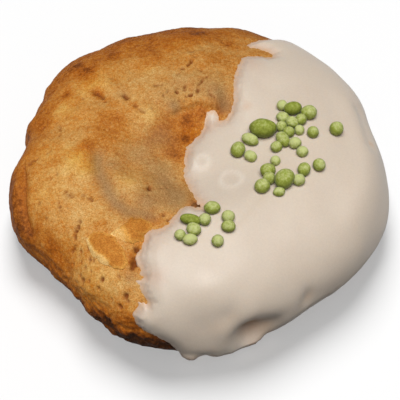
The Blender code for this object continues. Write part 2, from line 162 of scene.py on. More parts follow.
# The sugar pearls: flat position, half length, half width, turn in degrees, and how pale each is
PEARLS = (
    (19.5, 8.8, 1.3, 1.3, 0.0, 0.8), (22.1, 7.6, 2.2, 1.6, 15.0, 0.1),
    (25.6, 6.4, 2.0, 1.7, 25.0, 0.5), (20.0, 5.4, 1.6, 1.3, -25.0, 0.6),
    (22.0, 3.7, 1.6, 1.4, -35.0, 0.55), (23.9, 4.4, 1.4, 1.4, 0.0, 0.4),
    (15.5, 2.3, 3.3, 2.2, -8.0, 0.15), (19.6, 2.8, 1.3, 1.3, 0.0, 0.5),
    (21.1, 1.0, 1.4, 1.3, 0.0, 0.35), (23.4, 1.5, 1.2, 1.2, 0.0, 0.75),
    (26.2, 0.8, 1.4, 1.4, 0.0, 0.45), (31.6, 2.7, 1.7, 1.7, 0.0, 0.45),
    (19.6, -1.1, 2.1, 1.5, -60.0, 0.45), (17.9, -3.0, 1.4, 1.3, 0.0, 0.5),
    (22.1, -2.4, 1.5, 1.4, 0.0, 0.75), (23.4, -5.0, 1.4, 1.3, 0.0, 0.75),
    (11.9, -0.1, 2.1, 1.4, -25.0, 0.65), (8.6, -3.3, 1.9, 1.7, 70.0, 0.4),
    (11.8, -5.1, 1.6, 1.3, -35.0, 0.75), (17.6, -7.2, 1.2, 1.2, 0.0, 0.8),
    (16.1, -10.9, 1.8, 1.7, 0.0, 0.35), (16.4, -13.4, 1.5, 1.5, 0.0, 0.45),
    (14.9, -16.1, 1.8, 1.7, 0.0, 0.5), (19.6, -13.9, 2.6, 2.2, 60.0, 0.35),
    (18.5, -17.0, 1.4, 1.1, 10.0, 0.55), (22.5, -13.2, 1.5, 1.4, 0.0, 0.75),
    (23.6, -10.2, 1.7, 1.5, 70.0, 0.4), (26.6, -8.4, 1.5, 1.5, 0.0, 0.5),
    (2.6, -21.1, 1.9, 1.5, 0.0, 0.45), (-2.0, -23.4, 2.5, 1.3, -12.0, 0.1),
    (1.0, -23.5, 1.4, 1.4, 0.0, 0.65), (-1.3, -25.7, 1.7, 1.5, -25.0, 0.6),
    (-4.2, -26.9, 1.3, 1.3, 0.0, 0.6), (-2.1, -27.9, 1.7, 1.3, 5.0, 0.8),
    (6.1, -23.5, 1.5, 1.5, 0.0, 0.7), (6.1, -25.7, 1.6, 1.4, 0.0, 0.45),
    (3.7, -28.6, 1.4, 1.4, 0.0, 0.65),
)
PEARL_SINK = 0.4


def bell(distance, width):
    """1 at the middle, falling smoothly to nothing a few widths away."""
    return np.exp(-((distance / width) ** 2))


def smooth_step(value, low, high):
    """0 below low, 1 above high, and an easy curve between them."""
    share = np.clip((value - low) / (high - low), 0.0, 1.0)
    return share * share * (3.0 - 2.0 * share)


def turn_between(a, b):
    """The angle from b to a, between -180 and 180 degrees."""
    return (a - b + 180.0) % 360.0 - 180.0


def sum_of_bells(x, y, lumps):
    """The height that a list of lumps (x, y, half width, height) gives flat positions."""
    total = np.zeros_like(x)
    for at_x, at_y, width, rise in lumps:
        total += rise * bell(np.hypot(x - at_x, y - at_y), width)
    return total


def ends_of(along, start, end):
    """1 along a line, falling to nothing before its start and past its end, both as shares."""
    return smooth_step(along, 0.0, start) * (1.0 - smooth_step(along, end, 1.0))


def to_line(x, y, line):
    """The distance from flat positions to a line of points, above 0 on its left side, and how far
    along the line the nearest spot lies, from 0 to 1."""
    best = np.full_like(x, np.inf)
    side = np.ones_like(x)
    along = np.zeros_like(x)
    for index, ((ax, ay), (bx, by)) in enumerate(zip(line, line[1:])):
        dx, dy = bx - ax, by - ay
        share = np.clip(((x - ax) * dx + (y - ay) * dy) / (dx * dx + dy * dy), 0.0, 1.0)
        gap = np.hypot(x - ax - dx * share, y - ay - dy * share)
        near = gap < best
        best = np.where(near, gap, best)
        side = np.where(near, np.where(dx * (y - ay) - dy * (x - ax) >= 0.0, 1.0, -1.0), side)
        along = np.where(near, (index + share) / (len(line) - 1), along)
    return best * side, along


def groove(x, y, line, width, end):
    """1 on a line, falling off over the width to its sides, and over a share of it at its ends."""
    off, along = to_line(x, y, line)
    return ends_of(along, end, 1.0 - end) * bell(off, width)


def to_edge(x, y, outline):
    """The distance from flat positions to the edge of a closed outline."""
    return np.abs(to_line(x, y, outline + outline[:1])[0])


def inside(x, y, outline):
    """Which flat positions lie inside a closed outline."""
    odd = np.zeros(x.shape, bool)
    for (ax, ay), (bx, by) in zip(outline, outline[1:] + outline[:1]):
        if ay != by:
            odd ^= ((ay > y) != (by > y)) & (x < ax + (y - ay) * (bx - ax) / (by - ay))
    return odd


def noise_at(points, size, seed=0.0):
    """Smooth noise from -1 to 1 at each point, with lumps about as wide as the size."""
    shift = Vector((seed, -seed, 2.0 * seed))
    return np.array([noise.noise(Vector(point) / size + shift) for point in points])


def rim_radius(angle):
    """How far the dough's widest edge lies from its middle, at angles in degrees."""
    turn = np.radians(angle)
    radius = 1.0 / np.hypot(np.cos(turn) / HALF_WIDTH, np.sin(turn) / HALF_DEPTH)
    for at, width, reach in RIM_LOBES:
        radius = radius + reach * bell(turn_between(angle, at), width)
    return radius


def side_profile():
    """The half outline seen from the side: lengths along the skin from the top's middle, and at
    each the share of the rim radius, the millimetres taken off it and the height."""
    turn = np.linspace(0.0, math.pi / 2, PROFILE_STEPS + 1)
    under = np.linspace(0.0, math.pi / 2, PROFILE_STEPS // 4 + 1)[1:]
    power = 2.0 / SHOULDER_POWER
    reach = np.concatenate([np.sin(turn) ** power, np.ones_like(under)])
    off = np.concatenate([np.zeros_like(turn), UNDERCUT * (1.0 - np.cos(under))])
    lift = np.maximum(0.0, np.cos(turn)) ** power
    height = np.concatenate([WIDEST_AT + (HEIGHT - WIDEST_AT) * lift, WIDEST_AT * (1.0 - np.sin(under))])
    steps = np.hypot(HALF_WIDTH * np.diff(reach) - np.diff(off), np.diff(height))
    return np.concatenate([[0.0], np.cumsum(steps)]), reach, off, height


LENGTHS, REACHES, OFFS, HEIGHTS = side_profile()
SKIN = LENGTHS[-1]


def icing_outline():
    """The whole edge of the icing: the ragged edge over the top, and the hem round the side."""
    start = math.degrees(math.atan2(ICING_EDGE[-1][1], ICING_EDGE[-1][0])) % 360.0
    end = math.degrees(math.atan2(ICING_EDGE[0][1], ICING_EDGE[0][0])) + 360.0
    hem = []
    for step in range(HEM_STEPS + 1):
        angle = start + (end - start) * (step + 0.5) / (HEM_STEPS + 1)
        wave = HEM_WAVE * noise.noise(Vector((angle / HEM_WAVE_TURN, 0.0, 3.0)))
        radius = SKIN - HEM + wave + RUN_DROP * bell(turn_between(angle, RUN_AT), RUN_HALF)
        hem.append((radius * math.cos(math.radians(angle)), radius * math.sin(math.radians(angle))))
    return ICING_EDGE + tuple(hem)


OUTLINE = icing_outline()


def icing_reach(x, y):
    """How far inside the icing's ragged edge flat positions lie; below 0 outside it."""
    reach = to_edge(x, y, OUTLINE)
    flat = np.stack([x, y, np.zeros_like(x)], -1)
    rags = sum(size * noise_at(flat, width, 6.0) for width, size in EDGE_RAGS)
    return np.where(inside(x, y, OUTLINE), reach, -reach) + rags


def body_points(x, y):
    """The smooth dough under flat positions."""
    length = np.hypot(x, y)
    turn = np.arctan2(y, x)
    radius = rim_radius(np.degrees(turn)) * np.interp(length, LENGTHS, REACHES)
    radius -= np.interp(length, LENGTHS, OFFS)
    across = radius * np.cos(turn)
    along = radius * np.sin(turn)
    out = np.hypot((across - HOLLOW_AT[0]) / HOLLOW_HALF[0], (along - HOLLOW_AT[1]) / HOLLOW_HALF[1])
    hollow = HOLLOW_DEPTH * (1.0 - smooth_step(out, HOLLOW_FLOOR, HOLLOW_BRIM))
    return np.stack([across, along, np.interp(length, LENGTHS, HEIGHTS) - hollow], -1)


def body_normals(x, y):
    """Which way the smooth dough faces under flat positions: level where it curls under."""
    east = body_points(x + PROBE, y) - body_points(x - PROBE, y)
    north = body_points(x, y + PROBE) - body_points(x, y - PROBE)
    facing = np.cross(east, north)
    facing /= np.linalg.norm(facing, axis=1, keepdims=True)
    level = np.stack([x, y, np.zeros_like(x)], -1) / np.maximum(np.hypot(x, y), PROBE)[:, None]
    return np.where(facing[:, 2:] > 0.0, facing, level)


def dough_relief(x, y, points, reach):
    """How far the dough stands out from its smooth body at flat positions."""
    height = sum_of_bells(x, y, DOUGH_LUMPS)
    lumps = sum(rise * noise_at(points, size) for size, rise in LUMP_SIZES)
    bare = 1.0 - smooth_step(reach, -ICING_LIP, ICING_TAPER)
    height += lumps * (LUMPS_UNDER_ICING + (1.0 - LUMPS_UNDER_ICING) * bare)
    for depth, width, line in GROOVES:
        height -= depth * groove(x, y, line, width, GROOVE_END)
    off, along = to_line(x, y, LIP)
    fold = smooth_step(off, -LIP_EDGE, LIP_EDGE) * bell(np.maximum(off, 0.0), LIP_BACK)
    height += LIP_HEIGHT * ends_of(along, LIP_STARTS, LIP_ENDS) * fold
    off, along = to_line(x, y, CREASE)
    step = bell(off + LEDGE_AT, LEDGE_HALF) - bell(off, CREASE_HALF)
    height += CREASE_DEPTH * ends_of(along, GROOVE_END, 1.0 - GROOVE_END) * step
    return height * (1.0 - smooth_step(np.hypot(x, y), SKIN - FLAT_RIM, SKIN))


def icing_thickness(x, y, reach):
    """How thick the icing lies: an edge that thins out softly, then an even coat with runs, pools
    and a foot. Past its edge it tucks down into the dough, so that it meets the dough's own bumps."""
    low = smooth_step(np.hypot(x, y), *HEM_BAND)
    edge = (GAP + ICING_LIP) * smooth_step(reach, 0.0, ICING_ROUND + (HEM_ROUND - ICING_ROUND) * low)
    coat = (ICING - ICING_LIP + sum_of_bells(x, y, ICING_LUMPS)) * smooth_step(reach, 0.0, ICING_SPREAD)
    for at_x, at_y, radius, rise in ICING_BUBBLES:
        coat += rise * bell(np.hypot(x - at_x, y - at_y) - radius, BUBBLE_WIDTH)
    for depth, width, line in ICING_FOLDS:
        coat -= depth * groove(x, y, line, width, GROOVE_END)
    tuck = np.clip(reach, -1.0, 0.0) * ICING_TUCK
    return edge + coat + tuck + sum_of_bells(x, y, ICING_FOOT) * smooth_step(reach, *FOOT_EDGE)


# ---- fine detail of the crust

# Pores: flat position, radius and depth
PORES = (
    (-11.7, -14.4, 0.8, 0.9), (-11.5, -16.4, 0.3, 0.4), (-18.2, -3.8, 0.3, 0.4), (-19.7, -9.9, 0.3, 0.3),
    (-17.1, -9.5, 0.3, 0.3), (-12.0, -5.5, 0.3, 0.3), (-30.5, -13.2, 0.4, 0.7), (-29.7, -14.9, 0.4, 0.5),
    (-30.2, -14.3, 1.0, 0.4), (-27.3, -15.3, 0.5, 0.4), (-26.1, -16.4, 0.5, 0.6), (-25.7, -17.0, 0.4, 0.8),
    (-32.8, -15.9, 0.3, 0.5), (-32.9, -17.0, 0.4, 0.6), (-33.0, -17.9, 0.3, 0.4), (-37.1, -14.3, 0.5, 0.4),
    (-37.5, -10.4, 0.4, 0.4), (-37.0, -18.6, 0.4, 0.4), (-33.3, -8.9, 0.3, 0.4), (-31.8, -8.2, 0.4, 0.4),
    (-27.1, -29.0, 0.4, 0.7), (-29.5, -29.3, 0.5, 0.7), (-26.3, -31.2, 0.5, 0.9), (-30.2, -30.4, 0.3, 0.5),
    (-25.1, -31.4, 0.4, 0.6), (-29.5, -31.7, 0.4, 0.5), (-32.6, -32.0, 0.5, 0.5), (-27.8, -32.9, 0.5, 0.6),
    (-25.8, -33.7, 0.3, 0.5), (-29.9, -34.7, 0.5, 0.9), (-29.0, -35.6, 0.7, 0.7), (-26.4, -35.8, 0.4, 0.5),
    (-22.5, -35.7, 0.6, 1.0), (-18.0, -35.1, 0.4, 0.5), (-30.2, -37.6, 0.5, 0.8), (-33.1, -38.5, 0.5, 0.6),
    (-23.8, -37.4, 0.4, 0.6), (-16.6, -39.1, 0.8, 0.9), (-16.2, -40.2, 0.5, 0.6), (-18.3, -41.5, 0.6, 0.8),
    (-20.6, -39.9, 0.3, 0.5), (-20.2, -32.7, 0.3, 0.5), (-17.6, -30.1, 0.3, 0.5), (-27.6, -26.8, 0.3, 0.4),
    (-13.9, -29.2, 0.8, 1.2), (-14.5, -32.3, 0.9, 1.2), (-14.2, -31.2, 0.5, 1.0), (-14.9, -33.2, 0.6, 0.9),
    (-11.7, -21.6, 0.3, 0.5), (-7.9, -21.1, 0.4, 0.6), (-6.9, -22.4, 0.3, 0.8), (-0.4, -17.7, 0.5, 0.6),
    (0.6, -18.6, 0.6, 0.9), (-38.8, 14.7, 0.6, 0.5), (-24.7, 21.9, 0.4, 0.4), (-27.8, 13.6, 0.4, 0.4),
    (-22.4, 12.1, 0.4, 0.6), (-18.3, 15.1, 0.3, 0.3), (-34.3, -1.3, 0.4, 0.4), (-20.1, 18.5, 0.5, 0.3),
    (-4.0, 20.5, 0.5, 0.8), (-1.9, 26.8, 0.8, 0.4), (-0.5, 13.4, 0.5, 0.9), (-4.7, 10.9, 0.3, 0.5),
    (-3.6, 10.9, 0.3, 0.5), (4.2, 9.4, 0.4, 0.5), (2.1, 13.2, 0.3, 0.5), (-29.2, -22.1, 0.5, 0.6),
    (-30.4, -24.4, 0.5, 0.9), (-32.4, -29.0, 0.5, 0.6),
)
# Cracks: width, depth and the flat positions along them
CRACKS = (
    (0.55, 0.9, ((-17.3, 13.3), (-16.9, 12.4), (-16.2, 11.7), (-15.5, 11.1))),
    (0.4, 0.5, ((-15.2, 10.8), (-15.0, 9.7), (-13.9, 8.4), (-12.1, 7.4))),
    (0.5, 0.7, ((-24.8, 14.4), (-24.2, 14.9), (-23.5, 14.4), (-22.8, 13.9), (-22.3, 12.6))),
    (0.4, 0.7, ((-33.3, 16.7), (-32.2, 16.7), (-31.2, 17.0))),
    (0.35, 0.8, ((-2.9, 21.2), (-2.7, 21.4), (-2.1, 22.7), (-1.4, 24.0), (-1.2, 24.6))),
    (0.35, 0.5, ((5.7, 30.0), (5.9, 30.2), (6.9, 30.9), (7.2, 31.1))),
    (0.3, 0.4, ((-5.5, 18.0), (-5.3, 18.2), (-4.6, 19.1), (-4.4, 19.4))),
    (0.35, 0.6, ((-10.6, 14.9), (-10.3, 15.1), (-9.5, 15.3), (-8.7, 15.0), (-8.4, 14.9))),
    (0.3, 0.6, ((-6.8, 13.3), (-7.0, 13.2), (-8.3, 12.0), (-8.5, 11.8))),
    (0.35, 0.7, ((-4.8, 14.3), (-4.9, 14.1), (-5.4, 13.1), (-5.6, 12.8))),
    (0.35, 0.7, ((-3.2, 15.0), (-3.3, 14.8), (-3.7, 13.9), (-3.8, 13.7))),
    (0.3, 0.7, ((1.8, 17.7), (1.5, 17.3), (0.7, 16.1), (0.2, 15.3), (-0.2, 14.8), (-0.5, 14.2))),
    (0.4, 0.9, ((-3.5, 12.2), (-3.2, 12.3), (-2.6, 12.5), (-1.9, 12.5), (-1.6, 12.4))),
    (0.4, 0.8, ((1.7, 12.5), (2.1, 12.3), (2.8, 12.0), (3.2, 11.8), (3.6, 11.7))),
    (0.45, 0.8, (
        (-29.1, -21.8), (-29.2, -22.1), (-29.7, -23.3), (-30.4, -24.4), (-30.7, -25.6), (-30.9, -26.9),
    )),
    (0.4, 0.5, ((-31.0, -27.5), (-31.1, -27.8), (-31.7, -28.4), (-32.4, -29.0), (-32.7, -29.3))),
    (0.6, 0.6, ((-40.3, -3.0), (-40.0, -2.8), (-39.1, -2.6), (-38.3, -2.4), (-37.5, -2.0), (-37.2, -1.9))),
    (0.4, 0.4, ((-35.2, 8.9), (-35.0, 8.5), (-33.9, 5.3), (-33.5, 3.2), (-33.4, 2.9))),
    (0.35, 0.5, ((-39.8, 8.4), (-39.4, 8.5), (-38.5, 8.6), (-37.9, 8.6), (-37.6, 8.6))),
)
# The seam above the foot, which runs on without a break
SEAM = (
    (-41.6, -1.0), (-41.2, -2.3), (-40.7, -5.3), (-40.8, -8.0), (-41.1, -10.5), (-41.3, -13.1),
    (-41.9, -15.6), (-42.5, -18.0), (-42.9, -20.4), (-44.0, -22.7),
)
SEAM_WIDTH = 0.3
SEAM_DEPTH = 0.45
CRACK_END = 0.12
# How far a crack wanders and in bends of which size, and where it breaks off into a chain
CRACK_WANDER = 0.35
CRACK_BENDS = 1.1
CHAIN_SIZE = 0.9
CHAIN_BREAKS = (-0.5, 0.1)
HOLE_RAGS = 0.5
HOLE_RAG_SIZE = 0.7
HOLE_SIZE = 0.8
HOLE_SHADE = 1.5
STRAY_PORES = 260
STRAY_PORE_MARGIN = 4.0
STRAY_PORE_RADIUS = (0.18, 0.4)
# As shares of the pore's radius
STRAY_PORE_DEPTH = (0.4, 1.1)
FINE_EDGE = (-0.2, 1.2)
FINE_LUMPS = ((2.4, 0.13), (1.2, 0.08), (0.6, 0.05))
# The crumbly foot: its lumps, where it begins along the skin, and the direction and half width of
# its burnt stretch, in degrees
FOOT_CRAGS = ((2.6, 0.5), (1.2, 0.32))
CRAGS_BAND = (42.0, 52.0)
CRAGS_AT = 238.0
CRAGS_HALF = 26.0
CRAGS_ELSEWHERE = 0.35

# Patches of the crust's colour: flat position, half width and how much. Some browned patches are painted
# shade: those under the lip and on the hollow's far wall, between about x -9 and 6 and y -3 and 11, and
# the near-black ones along the front left bottom edge are burnt crust and painted shade of the undercut.
BAKED_AND_SHADE = (
    (-20.5, 27.2, 3.0, 0.26), (-25.5, 22.6, 2.6, 0.28), (-31.7, 16.7, 1.6, 0.2), (-25.0, -2.0, 2.2, 0.3),
    (-21.0, 6.5, 3.6, 0.22), (-0.1, 34.9, 2.4, 0.2), (6.5, 30.6, 1.6, 0.15), (0.0, 8.6, 1.8, 0.3),
    (-3.6, 7.4, 1.8, 0.25), (3.4, 7.8, 1.4, 0.25), (0.0, 5.6, 2.6, 0.16), (-3.0, 1.6, 2.0, 0.36),
    (-5.2, -3.1, 2.2, 0.3), (-23.7, 14.4, 1.6, 0.25), (-15.0, 9.7, 1.2, 0.2), (-38.0, 10.0, 2.5, 0.1),
    (-28.8, 25.9, 1.6, 0.3), (-22.0, -46.0, 4.0, 0.12), (8.5, 22.0, 3.0, 0.12), (-13.0, -28.0, 1.6, 0.14),
    (-9.5, -22.8, 1.6, 0.2), (9.0, 31.0, 3.0, 0.1), (-21.3, -52.4, 2.6, 0.5), (-15.5, -55.0, 3.2, 0.6),
    (-9.5, -56.8, 3.2, 0.6), (-15.0, -22.0, 1.6, 0.2), (-11.5, -21.5, 1.5, 0.2), (0.4, -18.2, 1.2, 0.4),
    (-37.5, -26.5, 3.0, 0.12), (-30.6, -25.0, 1.2, 0.15), (-31.5, -48.5, 2.6, 0.5), (-12.0, 31.0, 5.0, 0.15),
    (-3.0, 34.0, 5.0, 0.2), (5.0, 35.0, 4.0, 0.15), (-9.0, 2.5, 4.0, 0.24), (-3.5, 6.0, 3.0, 0.12),
    (-6.5, -1.5, 3.0, 0.1), (-21.0, 1.5, 4.5, 0.14), (-11.0, 26.0, 4.0, 0.2), (3.5, 23.5, 2.5, 0.12),
    (-14.4, -31.5, 1.8, 0.4), (-1.2, -18.4, 1.6, 0.4), (-22.0, -11.0, 2.0, 0.12),
    (5.0, 9.5, 1.8, 0.35), (-15.0, -45.5, 3.0, 0.15), (-27.5, -44.8, 2.0, 0.25),
    (-24.5, -46.8, 2.2, 0.5), (-19.0, -51.5, 2.4, 0.5), (-14.5, -53.2, 2.8, 0.75),
    (-10.0, -54.6, 2.6, 0.5), (-7.5, -55.5, 2.2, 0.4), (-25.0, -41.5, 3.5, 0.12), (-17.5, -43.0, 3.0, 0.16),
    (-34.0, -29.0, 4.0, 0.1), (-9.0, 5.0, 3.0, 0.14), (-4.2, 3.8, 2.2, 0.14), (6.3, 10.5, 1.8, 0.1),
    (-11.0, -51.0, 3.0, 0.25),
)
# Paler crust; the broad faint patches at (-24, -40) and (-31, -33) on the front left are painted light
PALE_AND_LIT = (
    (-29.3, -7.4, 1.6, 0.3), (-26.0, -9.5, 1.6, 0.26), (-27.4, -5.4, 3.0, 0.14), (-33.2, 12.4, 1.6, 0.2),
    (-11.4, 6.7, 2.4, 0.3), (-13.6, 8.4, 2.4, 0.12), (-17.0, -14.0, 3.2, 0.18), (-22.6, 17.8, 2.2, 0.16),
    (-29.3, 0.2, 2.2, 0.12), (-32.0, -12.0, 4.0, 0.08), (-28.0, -19.5, 4.0, 0.08), (-19.0, -36.0, 2.6, 0.12),
    (-10.0, 17.0, 5.0, 0.08), (-3.0, 17.5, 4.0, 0.06), (-24.0, -40.0, 6.0, 0.1), (-31.0, -33.0, 5.0, 0.08),
)
GOLD = (
    (-27.2, -4.6, 3.4, 0.9), (-24.3, -8.0, 2.2, 0.8), (-25.0, 19.5, 5.0, 0.9), (-33.0, 12.0, 4.5, 0.6),
    (-35.0, -2.0, 4.5, 0.6), (-12.0, 21.0, 3.0, 0.4), (-2.5, 3.0, 4.0, 0.8), (-33.0, -13.0, 4.0, 0.4),
    (-10.9, 6.8, 2.0, 0.4), (-5.0, 33.0, 6.0, 0.8), (-16.9, -13.5, 2.0, 0.4), (-14.0, -24.0, 4.0, 0.5),
    (-38.0, -28.0, 6.0, 0.7), (-27.0, -38.0, 6.0, 0.7), (-18.0, -46.0, 5.0, 0.7), (-19.0, 30.0, 6.0, 0.6),
    (-38.5, -12.0, 4.0, 0.4),
)
# Greyer patches: less baked crust, and painted shade in the hollow, the trough and under the lip
GREY_AND_SHADE = (
    (-5.9, 9.6, 1.5, 0.8), (-20.1, -7.0, 2.4, 0.6), (-19.7, -18.7, 2.6, 0.7), (-9.8, -7.2, 3.4, 0.6),
    (-4.6, -16.5, 3.6, 0.9), (-12.0, -18.8, 3.6, 0.8), (-8.0, -12.0, 4.0, 0.7), (-14.0, -3.0, 3.5, 0.5),
    (-9.5, 1.5, 4.0, 0.5), (1.5, 14.5, 3.4, 0.5), (5.0, 12.5, 2.6, 0.6), (-4.5, 16.0, 2.6, 0.4),
    (-17.5, 12.9, 1.6, 0.4), (-22.4, -12.5, 1.8, 0.6), (-8.5, 11.5, 4.0, 0.3), (6.3, 9.8, 2.0, 0.6),
    (-15.2, -35.2, 1.8, 0.5),
)
BARE_BAKE = 0.27
# The browner rim begins this far along the skin, and sooner toward the far left, on a wavy line
RIM_FROM = 38.0
RIM_SHIFT = 9.0
RIM_TURN = 118.0
RIM_SPREAD = 14.0
RIM_BAKE = 0.34
RIM_WAVE = 2.5
RIM_WAVE_SIZE = 7.0
# The foot outside the seam is darker than the cap inside it: browner, and painted shade below the crease
SEAM_BAKE_AND_SHADE = 0.16
SEAM_HALF = 0.8
SEAM_FOOT = 5.0
SEAM_FADE = 3.0
# Painted shade: the grey brown ring in the trough round the middle
TROUGH_GREY_SHADE = 0.95
TROUGH_HALF = 1.8
TROUGH_BROWN_SHADE = 0.1
FOOT_FROM = 52.0
FOOT_TO = 59.0
FOOT_BAKE = 0.25


def stray_pores():
    """Small pores strewn over the crust: flat position, radius and depth."""
    draw = random.Random(7)
    found = []
    for _ in range(STRAY_PORES):
        reach = (SKIN - STRAY_PORE_MARGIN) * math.sqrt(draw.random())
        turn = draw.uniform(0.0, 2.0 * math.pi)
        radius = draw.uniform(*STRAY_PORE_RADIUS)
        depth = radius * draw.uniform(*STRAY_PORE_DEPTH)
        found.append((reach * math.cos(turn), reach * math.sin(turn), radius, depth))
    return found


def crust_detail(x, y, points, reach):
    """The crust's fine relief, and how deep in a pore or crack each spot lies, from 0 to 1, which the
    material paints as shade.
    """
    radius = np.hypot(x, y)
    bare = 1.0 - smooth_step(reach, *FINE_EDGE)
    lumps = sum(rise * noise_at(points, size, 5.0) for size, rise in FINE_LUMPS)
    crags = sum(rise * noise_at(points, size, 9.0) for size, rise in FOOT_CRAGS)
    burnt = bell(turn_between(np.degrees(np.arctan2(y, x)), CRAGS_AT), CRAGS_HALF)
    lumps = lumps + crags * smooth_step(radius, *CRAGS_BAND) * (CRAGS_ELSEWHERE + burnt)
    ragged = 1.0 + HOLE_RAGS * noise_at(points, HOLE_RAG_SIZE, 3.0)
    hole = np.zeros_like(x)
    for at_x, at_y, size, depth in list(PORES) + stray_pores():
        near = (np.abs(x - at_x) < 3.0 * size) & (np.abs(y - at_y) < 3.0 * size)
        away = np.hypot(x[near] - at_x, y[near] - at_y) * ragged[near]
        hole[near] = np.maximum(hole[near], depth * bell(away, size * HOLE_SIZE))
    wander = CRACK_WANDER * noise_at(points, CRACK_BENDS, 4.0)
    chain = smooth_step(noise_at(points, CHAIN_SIZE, 8.0), *CHAIN_BREAKS)
    cracks = [(*crack, chain) for crack in CRACKS] + [(SEAM_WIDTH, SEAM_DEPTH, SEAM, 1.0)]
    for width, depth, line, whole in cracks:
        off, along = to_line(x, y, line)
        ends = ends_of(along, CRACK_END, 1.0 - CRACK_END) * whole
        hole = np.maximum(hole, depth * ends * bell((off + wander) * ragged, width * HOLE_SIZE))
    fade = bare * (1.0 - smooth_step(radius, SKIN - FLAT_RIM, SKIN))
    return (lumps - hole) * fade, np.clip(hole * HOLE_SHADE, 0.0, 1.0) * fade


def crust_bake_and_shade(x, y, points):
    """How browned the crust is, from 0, pale, to 1, dark, with painted shade in the trough, along the
    seam and under the lip.
    """
    radius = np.hypot(x, y) + RIM_WAVE * noise_at(points, RIM_WAVE_SIZE, 2.0)
    rim = RIM_FROM - RIM_SHIFT * np.cos(np.arctan2(y, x) - math.radians(RIM_TURN))
    bake_and_shade = BARE_BAKE + RIM_BAKE * smooth_step(radius, rim, rim + RIM_SPREAD)
    bake_and_shade += FOOT_BAKE * smooth_step(radius, FOOT_FROM, FOOT_TO)
    off, along = to_line(x, y, SEAM)
    foot = bell(np.maximum(off, 0.0), SEAM_HALF) * bell(np.minimum(off + SEAM_FOOT, 0.0), SEAM_FADE)
    bake_and_shade += SEAM_BAKE_AND_SHADE * ends_of(along, CRACK_END, 1.0 - CRACK_END) * foot
    bake_and_shade += TROUGH_BROWN_SHADE * groove(x, y, TROUGH, TROUGH_HALF, CRACK_END)
    return np.clip(bake_and_shade + sum_of_bells(x, y, BAKED_AND_SHADE) - sum_of_bells(x, y, PALE_AND_LIT), 0.0, 1.0)


def crust_grey_and_shade(x, y):
    """How grey the crust is, from 0 to 1: greyer where less baked, and painted shade in the trough, the
    hollow and under the lip.
    """
    ring = TROUGH_GREY_SHADE * groove(x, y, TROUGH, TROUGH_HALF, CRACK_END)
    return np.clip(np.maximum(ring, sum_of_bells(x, y, GREY_AND_SHADE)), 0.0, 1.0)


# ---- mesh helpers


def disc_grid(rings, size=SKIN):
    """A square grid drawn out to a disc of flat positions, ring k holding 8k points."""
    mesh = bmesh.new()
    bmesh.ops.create_grid(mesh, x_segments=2 * rings, y_segments=2 * rings, size=1.0)
    for vert in mesh.verts:
        x, y = vert.co.x, vert.co.y
        wide = abs(x) >= abs(y)
        side, rest = (x, y) if wide else (y, x)
        slant = math.radians(45.0 * rest / side) if side else 0.0
        far, near = side * math.cos(slant), side * math.sin(slant)
        vert.co = Vector((far, near, 0.0) if wide else (near, far, 0.0)) * size
    return mesh


def flat_positions(mesh):
    """The x and y of a flat mesh's points."""
    places = np.array([vert.co for vert in mesh.verts])
    return places[:, 0], places[:, 1]


def refine(mesh, wanted, cuts):
    """Splits the edges of the faces whose corners are all wanted."""
    x, y = flat_positions(mesh)
    chosen = wanted(x, y)
    mesh.verts.index_update()
    faces = [face for face in mesh.faces if all(chosen[vert.index] for vert in face.verts)]
    edges = list({edge for face in faces for edge in face.edges})
    bmesh.ops.subdivide_edges(mesh, edges=edges, cuts=cuts, use_grid_fill=True)


def thicken(mesh, inner, outer):
    """Makes a flat sheet a closed shell: each point's copies go to its inner and outer places."""
    mark = mesh.verts.layers.int.new("spot")
    for spot, vert in enumerate(mesh.verts):
        vert[mark] = spot
    made = bmesh.ops.extrude_face_region(mesh, geom=mesh.faces[:], use_keep_orig=True)
    raised = {item for item in made["geom"] if isinstance(item, bmesh.types.BMVert)}
    for vert in mesh.verts:
        vert.co = (outer if vert in raised else inner)[vert[mark]]
    spots = [vert[mark] for vert in mesh.verts]
    mesh.verts.layers.int.remove(mark)
    bmesh.ops.recalc_face_normals(mesh, faces=mesh.faces)
    return spots


def make_object(name, mesh, material):
    """A named object, in metres, that rides on the one body."""
    bmesh.ops.scale(mesh, vec=(MM, MM, MM), verts=mesh.verts)
    data = bpy.data.meshes.new(name)
    mesh.to_mesh(data)
    mesh.free()
    data.materials.append(material)
    data.shade_smooth()
    made = bpy.data.objects.new(name, data)
    bpy.context.scene.collection.objects.link(made)
    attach(made, "root")
    return made


def set_attribute(made, name, values):
    """Gives each point of a finished piece a number that its material reads."""
    layer = made.data.attributes.new(name, "FLOAT", "POINT")
    layer.data.foreach_set("value", np.asarray(values, np.float32))


# ---- material helpers


